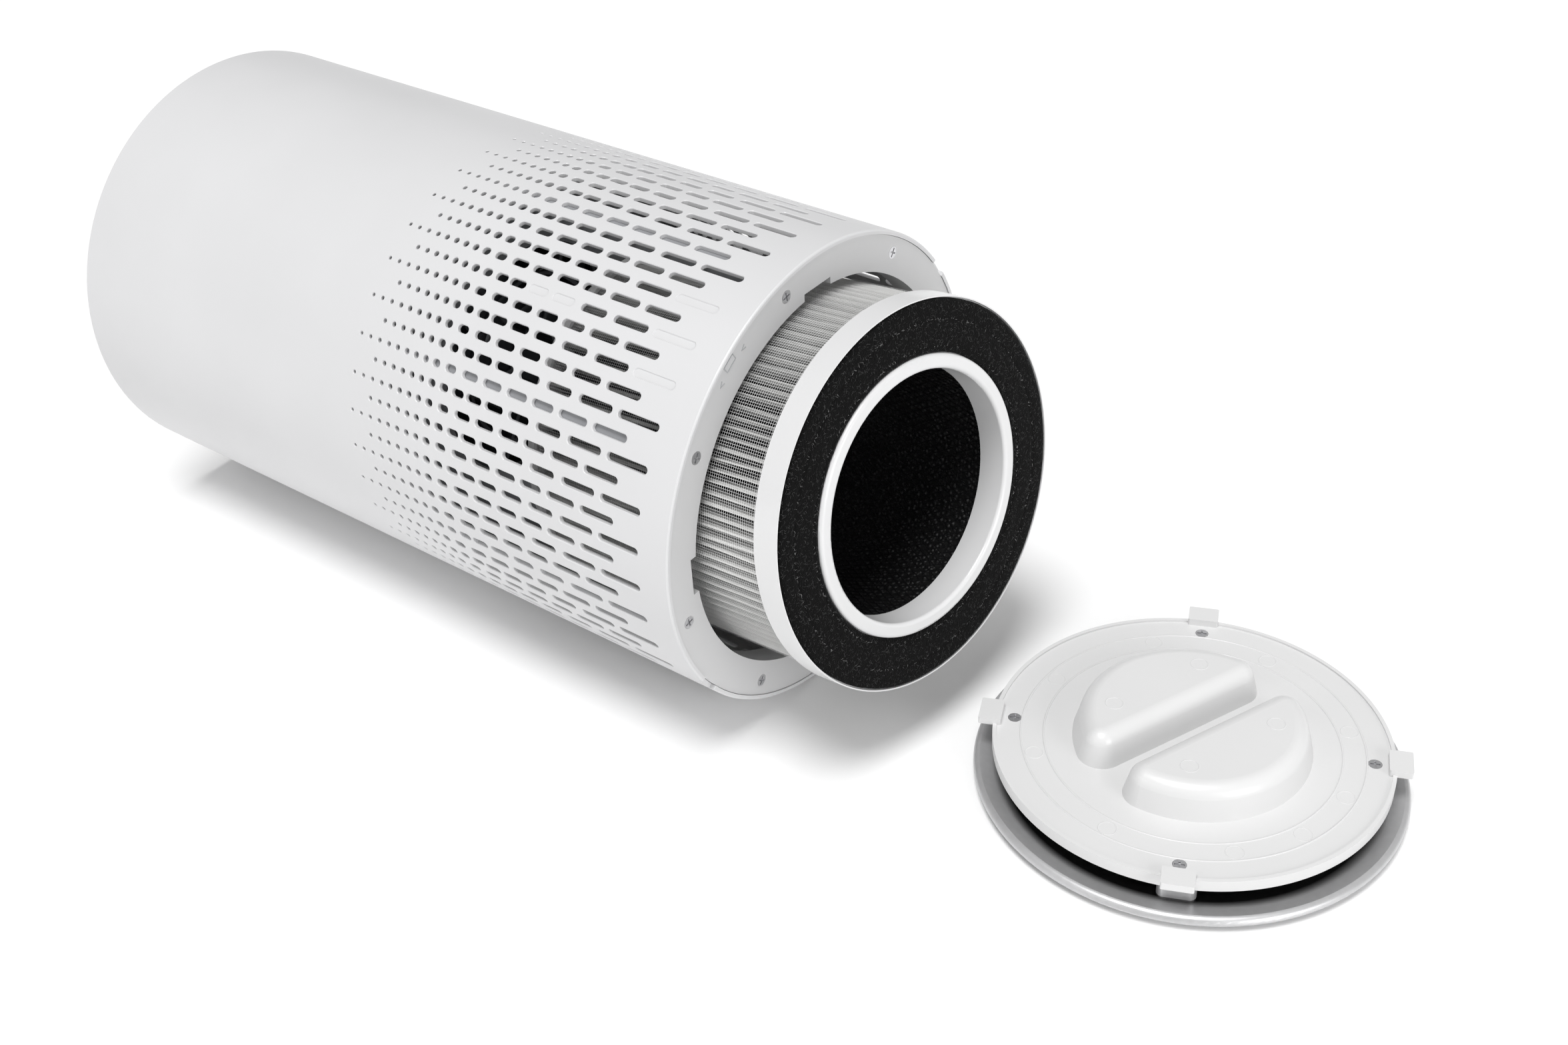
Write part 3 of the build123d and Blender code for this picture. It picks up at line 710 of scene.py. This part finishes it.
turn = add(tree, MATH, {0: sway, 1: held, 2: turn}, operation="MULTIPLY_ADD")
folded = wrap(tree, grid, turn, radius, x)
closed = add(tree, "GeometryNodeMergeByDistance", {0: folded, "Distance": 1e-5})
finish_tree(tree, into_frame(tree, closed.outputs[0], cartridge_frame), paper)
pleats = grow(seed_piece("folded_paper_pleats"), tree)
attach(pleats, "filter")
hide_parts("pleat_pack")

# %% [markdown]
# ## Net over the pleats
# A square net of fine thread keeps the pleats in. Each hoop is a ribbon of flat facets that runs
# from pleat to pleat, and the cross threads are straight ribbons. Instances on a line and on a
# ring repeat them.

# %% Hoops and cross threads
net_pitch = 1.3 * MM
thread_width = 0.13 * MM
net_radius = 87.9 * MM
net_margin = 1 * MM
net_length = pack_high - pack_low - 2 * net_margin


def ribbon_ring(tree, radius, width, steps):
    """A flat ribbon round X, as wide along X as its width."""
    grid, u, v = bent_grid(tree, steps + 1, 2)
    x = add(tree, MATH, {0: v, 1: width, 2: -width / 2}, operation="MULTIPLY_ADD")
    turn = add(tree, MATH, {0: u, 1: math.tau}, operation="MULTIPLY")
    ring = wrap(tree, grid, turn, radius, x)
    return add(tree, "GeometryNodeMergeByDistance", {0: ring, "Distance": 1e-6}).outputs[0]


def on_line(tree, shape, count, start, step):
    """Instances of a shape along X."""
    line = add(tree, "GeometryNodeMeshLine", {"Count": count, "Start Location": (start, 0, 0),
                                              "Offset": (step, 0, 0)})
    return add(tree, "GeometryNodeInstanceOnPoints", {"Points": line,
                                                      "Instance": shape}).outputs[0]


def on_ring(tree, shape, count, first=0.0):
    """Instances of a shape turned evenly about X."""
    points = add(tree, "GeometryNodeMeshLine", {"Count": count, "Offset": (0, 0, 0)})
    number = add(tree, "GeometryNodeInputIndex").outputs[0]
    pitch = add(tree, MATH, {0: math.tau, 1: count}, operation="DIVIDE")
    turn = add(tree, MATH, {0: number, 1: pitch, 2: first}, operation="MULTIPLY_ADD")
    spin = add(tree, "ShaderNodeCombineXYZ", {0: turn})
    return add(tree, "GeometryNodeInstanceOnPoints", {"Points": points,
               "Instance": shape, "Rotation": spin}).outputs[0]


tree, given = geometry_tree("square_net", Hoops=("i", int(net_length / net_pitch)),
                            Strands=("i", int(math.tau * net_radius / net_pitch)))
hoops = on_line(tree, ribbon_ring(tree, net_radius, thread_width, pleat_count), given["Hoops"],
                pack_low + net_margin, net_pitch)
over_hoops = 0.05 * MM
grid, u, v = bent_grid(tree, 2, 2)
x = along_pack(tree, v)
z = add(tree, MATH, {0: u, 1: thread_width, 2: -thread_width / 2}, operation="MULTIPLY_ADD")
strand = add(tree, "ShaderNodeCombineXYZ", {0: x, 1: -net_radius - over_hoops, 2: z})
strand = add(tree, "GeometryNodeSetPosition", {"Geometry": grid, "Position": strand}).outputs[0]
joined = add(tree, "GeometryNodeJoinGeometry")
tree.links.new(hoops, joined.inputs[0])
tree.links.new(on_ring(tree, strand, given["Strands"]), joined.inputs[0])
finish_tree(tree, into_frame(tree, joined.outputs[0], cartridge_frame), thread)
net = grow(seed_piece("square_thread_net"), tree)
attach(net, "filter")
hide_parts("outer_net")

# %% [markdown]
# ## Diamond mesh in the bore
# The black sleeve inside the carbon is extruded plastic mesh: strands run both ways round in
# steep helices and cross as diamonds. One helix is a grid twisted as it goes along, and a ring
# of instances repeats it.

# %% Helix strands
mesh_radius = 61.2 * MM
strand_width = 0.7 * MM
strand_count = 110
strand_twist = math.radians(70)
strand_gap = 0.15 * MM


def helix(tree, way, radius):
    """Strands that all wind one way: way is 1 or -1."""
    grid, u, v = bent_grid(tree, 2, 40)
    width = strand_width / mesh_radius
    across = add(tree, MATH, {0: u, 1: width, 2: -width / 2}, operation="MULTIPLY_ADD")
    turn = add(tree, MATH, {0: v, 1: way * strand_twist, 2: across}, operation="MULTIPLY_ADD")
    x = along_pack(tree, v)
    return on_ring(tree, wrap(tree, grid, turn, radius, x), strand_count)


tree = geometry_tree("diamond_mesh")[0]
joined = add(tree, "GeometryNodeJoinGeometry")
tree.links.new(helix(tree, 1, mesh_radius), joined.inputs[0])
tree.links.new(helix(tree, -1, mesh_radius + strand_gap), joined.inputs[0])
finish_tree(tree, into_frame(tree, joined.outputs[0], cartridge_frame), mesh_black)
bore_mesh = grow(seed_piece("diamond_bore_mesh"), tree)
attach(bore_mesh, "filter")
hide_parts("inner_mesh")

# %% [markdown]
# ## Felt face
# The seal is a ring cut from 3 mm needled felt. Its face is lumpy, its cut edge is a little
# ragged, and two faint rings were pressed into it. A turned profile has the rings and the edges,
# and noise moves its points. Loose fibres are scattered on the face with a fixed seed.

# %% The felt ring
felt_inner, felt_outer = 65.6 * MM, 89.3 * MM
felt_back, felt_shoulder = -2.9 * MM, -1.2 * MM
face_depth_mm, ring_depth_mm, edge_drop_mm = 0.35, 0.28, 0.5
ring_spread, outer_rounding, inner_rounding = 0.8 * MM, 0.9 * MM, 1 * MM
face_steps = 26


def felt_depth_mm(r):
    """How far the felt's face lies back at a radius: pressed rings and rounded edges."""
    dip = sum(ring_depth_mm * math.exp(-((r - ring) / ring_spread) ** 2)
              for ring in pressed_rings)
    edge = edge_drop_mm * (math.exp(-(felt_outer - r) / outer_rounding)
                           + math.exp(-(r - felt_inner) / inner_rounding))
    return face_depth_mm + dip + edge


felt_profile = [(felt_back, felt_outer), (felt_shoulder, felt_outer)]
for r in steps_between(felt_outer, felt_inner, face_steps + 1):
    felt_profile.append((-felt_depth_mm(r) * MM, r))
felt_profile.append((felt_back, felt_inner))
verts, faces = lathe(felt_profile, 360)
felt_ring = outward(new_piece("needled_felt_face", verts, faces, cartridge_frame, smooth=True))
tree, given = geometry_tree("ruffle_felt", Lumps=("f", 0.55 * MM))
where = add(tree, "GeometryNodeInputPosition").outputs[0]
lump_size = 4 * MM
lumps = add(tree, "ShaderNodeTexNoise", {"Vector": where, "Scale": 1 / lump_size, "Detail": 4.0,
                                         "Roughness": 0.65})
centred = add(tree, VECTOR_MATH, {0: lumps.outputs["Color"], 1: (0.5, 0.5, 0.5)},
              operation="SUBTRACT")
push = add(tree, VECTOR_MATH, {0: centred, "Scale": given["Lumps"]}, operation="SCALE")
ruffled = add(tree, "GeometryNodeSetPosition", {"Geometry": given["Geometry"], "Offset": push})
finish_tree(tree, ruffled.outputs[0], felt)
grow(felt_ring, tree)
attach(felt_ring, "filter")
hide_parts("felt_seal")

# %% Loose fibres, 0.4 to 1.7 mm long, lying in the face
fibre_length, fibre_width, fibre_bow = 1.1 * MM, 0.07 * MM, 0.22 * MM
tilt, full_turn, bow_turn = 0.25, 6.283, 3.1
shortest, longest, lifted = 0.4, 1.5, 0.8
low_edge, high_face, slope = -0.75 * MM, -0.3 * MM, 0.6 * MM
fibre_profile = [(low_edge, felt_outer), (high_face, felt_outer - slope),
                 (high_face, felt_inner + slope), (low_edge, felt_inner)]
count = len(fibre_profile)
verts, faces = lathe(fibre_profile, 180)
faces = [face for i, face in enumerate(faces) if i % count < count - 1]
fibres = new_piece("loose_felt_fibres", verts, faces, cartridge_frame)
tree, given = geometry_tree("scatter_fibres", Fibres=("f", 450000.0), Seed=("i", 7))
spots = add(tree, "GeometryNodeDistributePointsOnFaces",
            {"Mesh": given["Geometry"], "Density": given["Fibres"], "Seed": given["Seed"]})
grid, u, v = bent_grid(tree, 2, 4)
arch = add(tree, MATH, {0: v, 1: bow_turn}, operation="MULTIPLY")
arch = add(tree, MATH, {0: arch}, operation="SINE")
bow = add(tree, MATH, {0: arch, 1: fibre_bow}, operation="MULTIPLY")
x = add(tree, MATH, {0: v, 1: fibre_length, 2: -fibre_length / 2}, operation="MULTIPLY_ADD")
y = add(tree, MATH, {0: u, 1: fibre_width, 2: bow}, operation="MULTIPLY_ADD")
z = add(tree, MATH, {0: bow, 1: lifted}, operation="MULTIPLY")
shape = add(tree, "ShaderNodeCombineXYZ", {0: x, 1: y, 2: z})
hair = add(tree, "GeometryNodeSetPosition", {"Geometry": grid, "Position": shape}).outputs[0]
spin = add(tree, "FunctionNodeRandomValue",
           {0: (-tilt, -tilt, 0.0), 1: (tilt, tilt, full_turn), "Seed": given["Seed"]},
           data_type="FLOAT_VECTOR")
lying = add(tree, "FunctionNodeRotateRotation",
            {0: spots.outputs["Rotation"], 1: spin}, rotation_space="LOCAL")
length = add(tree, "FunctionNodeRandomValue", {2: shortest, 3: longest, "Seed": 3},
             data_type="FLOAT")
laid = add(tree, "GeometryNodeInstanceOnPoints",
           {"Points": spots, "Instance": hair, "Rotation": lying,
            "Scale": length.outputs[1]})
finish_tree(tree, laid.outputs[0], fibre)
grow(fibres, tree)
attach(fibres, "filter")

# %% [markdown]
# ## Marks on the base ring
# The ring has moulded outlines: an arrowhead, a rectangle and another arrowhead show where the
# cover unlocks and locks. Each is a thin raised line, drawn as a strip along a path that is given
# in angle and radius and that closes on itself round the rectangle.

# %% Lines drawn on a flat face
def line_strip(points, width, closed):
    """A flat strip along 2D points. Returns 2D verts and faces."""
    verts, faces, count = [], [], len(points)
    for i, point in enumerate(points):
        before = points[i - 1] if closed or i else point
        after = points[(i + 1) % count] if closed or i < count - 1 else point
        way = (Vector(after) - Vector(before)).normalized()
        out = Vector((-way.y, way.x)) * width / 2
        verts += [Vector(point) + out, Vector(point) - out]
    for i in range(count if closed else count - 1):
        j = (i + 1) % count
        faces.append((2 * i, 2 * j, 2 * j + 1, 2 * i + 1))
    return verts, faces


def raised_lines(name, paths, width, height, to_space):
    """Thin solid bars along 2D paths: to_space turns (a, b, height) into a point."""
    verts, faces = [], []
    for points, closed in paths:
        flat, strips = line_strip(points, width, closed)
        start, count = len(verts), len(flat)
        verts += [to_space(a, b, 0.0) for a, b in flat] + [to_space(a, b, height)
                                                           for a, b in flat]
        top = start + count
        faces += [tuple(start + i for i in strip) for strip in strips]
        faces += [tuple(top + i for i in reversed(strip)) for strip in strips]
        for a, b, c, d in strips:
            faces += [(start + a, top + a, top + b, start + b),
                      (start + c, top + c, top + d, start + d)]
        if not closed:
            a, b, c, d = strips[0]
            faces.append((start + d, top + d, top + a, start + a))
            a, b, c, d = strips[-1]
            faces.append((start + b, top + b, top + c, start + c))
    return outward(new_piece(name, verts, faces, Matrix()))


print("line helpers ready")

# %% Lock marks: angles in degrees from -Y towards +Z, lengths in parts of the shell's radius
R = shell_radius
mark_radius = 0.94 * R
ring_face = 0.6 * MM
box_low, box_high = 0.941 * R, 0.972 * R
box_start, box_end = 51.6, 55.4
lock_box = ([(a, box_low) for a in steps_between(box_start, box_end, 6)]
            + [(a, box_high) for a in steps_between(box_end, box_start, 6)])
arrow_tail, arrow_tip, arrow_half = 0.9, 0.6, 0.010 * R
arrow_paths = [([(a + arrow_tail, r + arrow_half), (a - arrow_tip, r),
                 (a + arrow_tail, r - arrow_half)], False)
               for a, r in ((58.3, 0.933 * R), (48.3, 0.936 * R))]


def mark_to_space(a, b, height):
    """Marks are drawn flat, with the angle as a length at the marks' radius."""
    turn = a / mark_radius
    return rim_centre + Vector((height - ring_face, -b * math.cos(turn), b * math.sin(turn)))


flat_paths = [([(math.radians(a) * mark_radius, r) for a, r in points], closed)
              for points, closed in [(lock_box, True)] + arrow_paths]
mark_width, mark_height = 0.45 * MM, 0.25 * MM
marks = raised_lines("ring_lock_marks", flat_paths, mark_width, mark_height, mark_to_space)
marks.data.materials.append(mark_grey)
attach(marks, "housing")
print("lock marks", len(marks.data.polygons))

# %% [markdown]
# ## Moulded lines on the cover
# The cover's disc has two fine raised rings, and small circles where the mould's ejector pins
# pressed. Both are low rounded beads: a loop turns one for each ring and one for each pin.

# %% Rings and pin circles
disc_top = 21.0 * MM
grip_top = 37.0 * MM
upright = Matrix.Rotation(-math.pi / 2, 4, "Y")


def bead(radius, width, height):
    """A low rounded ring round X, its foot sunk a little."""
    foot = -0.2 * MM
    return [(foot, radius - width / 2), (foot, radius + width / 2),
            (0.4 * height, radius + width / 2), (height, radius + width / 5),
            (height, radius - width / 5), (0.4 * height, radius - width / 2)]


def beads(name, rings, width, height, steps):
    """One piece of many beads on the cover: each ring is its middle and its radius."""
    verts, faces = [], []
    for spot, radius in rings:
        place = cover_frame @ Matrix.Translation(spot) @ upright
        more, rows = lathe(bead(radius, width, height), steps)
        faces += [tuple(len(verts) + i for i in row) for row in rows]
        verts += [place @ Vector(v) for v in more]
    piece = outward(new_piece(name, verts, faces, Matrix(), smooth=True))
    piece.data.materials.append(cover_white)
    print(name, "faces", len(piece.data.polygons))
    return piece


disc_middle = (0, 0, disc_top)
disc_rings = beads("cover_disc_rings", [(disc_middle, 0.582 * R), (disc_middle, 0.673 * R)],
                   width=0.9 * MM, height=0.3 * MM, steps=192)
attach(disc_rings, "cover")

# %% Pin circles: nine round the disc and four on the grips
pin_radius = 4.0 * MM
disc_pins = [(72.5 * MM, a, disc_top) for a in (4, 40, 88, 132, 178, 222, 268, 312, 338)]
grip_pins = [(36 * MM, a, grip_top) for a in (24, 114, 204, 294)]
pin_rings = [((distance * math.cos(math.radians(a)), distance * math.sin(math.radians(a)),
               height), pin_radius) for distance, a, height in disc_pins + grip_pins]
pins = beads("cover_pin_circles", pin_rings, width=0.35 * MM, height=0.12 * MM, steps=32)
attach(pins, "cover")

# %% [markdown]
# ## Signs on the buttons
# Each push button has a plain raised sign: an open circle with a bar for power, three bars for
# the fan's speed, and a clock face for the timer. Each rides on its own button.

# %% Button signs
def arc(radius, start, end, steps=24):
    """Points of a round stretch between two angles in degrees."""
    return [(radius * math.cos(math.radians(a)), radius * math.sin(math.radians(a)))
            for a in steps_between(start, end, steps)]


SIGNS = {
    "power_button": [(arc(3.4 * MM, 125, 415), False), ([(0, 1.5 * MM), (0, 4.4 * MM)], False)],
    "speed_button": [([(x * MM, -3 * MM), (x * MM, top * MM)], False)
                     for x, top in ((-2.6, -0.8), (0, 1.0), (2.6, 3.0))],
    "timer_button": [(arc(3.8 * MM, 0, 345), True),
                     ([(0, 2.4 * MM), (0, 0), (1.8 * MM, -1.0 * MM)], False)]}
sign_width, sign_height, sign_foot = 0.8 * MM, 0.2 * MM, 0.03 * MM


def on_button(node):
    """Turns a flat point and a height into a place on a button, whose face looks to -X."""
    low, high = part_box(node)
    middle = Vector((low[0] + sign_foot, (low[1] + high[1]) / 2, (low[2] + high[2]) / 2))
    return lambda a, b, height: middle + Vector((-height, -a, b))


for node, paths in SIGNS.items():
    sign = raised_lines(node + "_sign", paths, sign_width, sign_height, on_button(node))
    sign.data.materials.append(fan_grey)
    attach(sign, node)
print("signs", list(SIGNS))

# %% [markdown]
# ## Finishes for the carried-over parts
# The other CAD parts have the right shape. Each gets the material of its real counterpart.

# %% Give every shown CAD part its material
FINISH = {
    "base_ring": ring_grey, "base_ring_screws": zinc, "bay_frame": frame_grey,
    "motor_deck": frame_grey, "intake_guard": fan_grey, "guide_vanes": fan_grey,
    "fan_motor": motor_grey, "motor_screws": zinc, "board_standoffs": shaft_steel,
    "power_board": board_green, "top_ring": shell_white, "outlet_grille": ring_grey,
    "control_panel": cap_white, "control_board": board_green, "cord_gland": rubber,
    "impeller": fan_grey, "motor_shaft": shaft_steel, "shaft_nut": zinc,
    "filter_front_cap": cap_white, "filter_rear_cap": cap_white, "rear_gasket": foam,
    "carbon_bed": carbon, "base_dish": dish_silver, "cover_disc": cover_white,
    "cover_screws": zinc, "foot_ring": rubber, "power_button": button_grey,
    "speed_button": button_grey, "timer_button": button_grey}
replaced = {"outer_shell", "pleat_pack", "outer_net", "inner_mesh", "felt_seal"}
for node, part in frame["nodes"].items():
    if node in FINISH:
        part.data.materials.clear()
        part.data.materials.append(FINISH[node])
print("left plain", [n for n in frame["nodes"] if n not in FINISH and n not in replaced])

# %% [markdown]
# ## Floor, light and camera
# A white sheet under bright soft light gives the clean studio look. Most of the light comes from
# a broad bank in the ceiling, a little in front. A large box in front lifts the faces towards the
# camera, one beyond the base end lights the open bay, and an even surround fills the shadows.

# %% Floor
reach = 12.0
just_below = 0.4 * MM
floor = new_piece("studio_floor", [(-reach, -reach, 0), (reach, -reach, 0), (reach, reach, 0),
                                   (-reach, reach, 0)], [(0, 1, 2, 3)],
                  Matrix.Translation((0, 0, -just_below)))
floor_white, tree, shader, place = new_material("white_paper_sweep")
shader.inputs["Base Color"].default_value = linear("FAFAFA")
shader.inputs["Roughness"].default_value = 0.9
shader.inputs["Specular IOR Level"].default_value = 0.1
floor.data.materials.append(floor_white)
print("floor", 2 * reach, "m wide")

# %% Lights
world = bpy.data.worlds.new("white_surround")
world.use_nodes = True
backdrop = world.node_tree.nodes["Background"]
backdrop.inputs["Color"].default_value = (1, 1, 1, 1)
backdrop.inputs["Strength"].default_value = 0.42
bpy.context.scene.world = world


def lamp(name, kind, place, way, power):
    """A light that shines along a direction."""
    light = bpy.data.lights.new(name, kind)
    light.energy = power
    fitting = bpy.data.objects.new(name, light)
    fitting.location = place
    fitting.rotation_euler = way.to_track_quat("-Z", "Y").to_euler()
    bpy.context.scene.collection.objects.link(fitting)
    return light


def softbox(name, place, size, power):
    """A square area light that faces the model."""
    model_middle = Vector((0, 0, 0.1))
    lamp(name, "AREA", place, model_middle - Vector(place), power).size = size


softbox("front_softbox", (-0.7, -2.5, 1.3), size=1.8, power=7)
softbox("end_softbox", (2.4, -0.6, 0.8), size=1.2, power=22)

# The bank in the ceiling is a sun with a broad disc.
bank = lamp("ceiling_bank", "SUN", (0, 0, 0), Vector((-0.06, 0.30, -1.0)), power=2.1)
bank.angle = math.radians(24)

# %% Camera, placed from the base rim's middle in parts of the housing's radius
housing_radius = 0.115
camera_data = bpy.data.cameras.new("camera")
camera = bpy.data.objects.new("camera", camera_data)
bpy.context.scene.collection.objects.link(camera)
azimuth, elevation, roll = (math.radians(a) for a in (-51.32, 34.54, -2.10))
back = Vector((math.cos(azimuth) * math.cos(elevation), math.sin(azimuth) * math.cos(elevation),
               math.sin(elevation)))
right = Vector((-math.sin(azimuth), math.cos(azimuth), 0))
up = back.cross(right)
right, up = (right * math.cos(roll) + up * math.sin(roll),
             up * math.cos(roll) - right * math.sin(roll))
stand = rim_centre + Vector((3.9212, -5.1904, 4.2282)) * housing_radius
camera.matrix_world = (Matrix.Translation(stand)
                       @ Matrix((right, up, back)).transposed().to_4x4())
camera_data.sensor_width = 36
camera_data.lens = 43.80
scene = bpy.context.scene
scene.camera = camera
scene.view_settings.view_transform = "Standard"
print("camera at", tuple(round(c, 3) for c in stand))
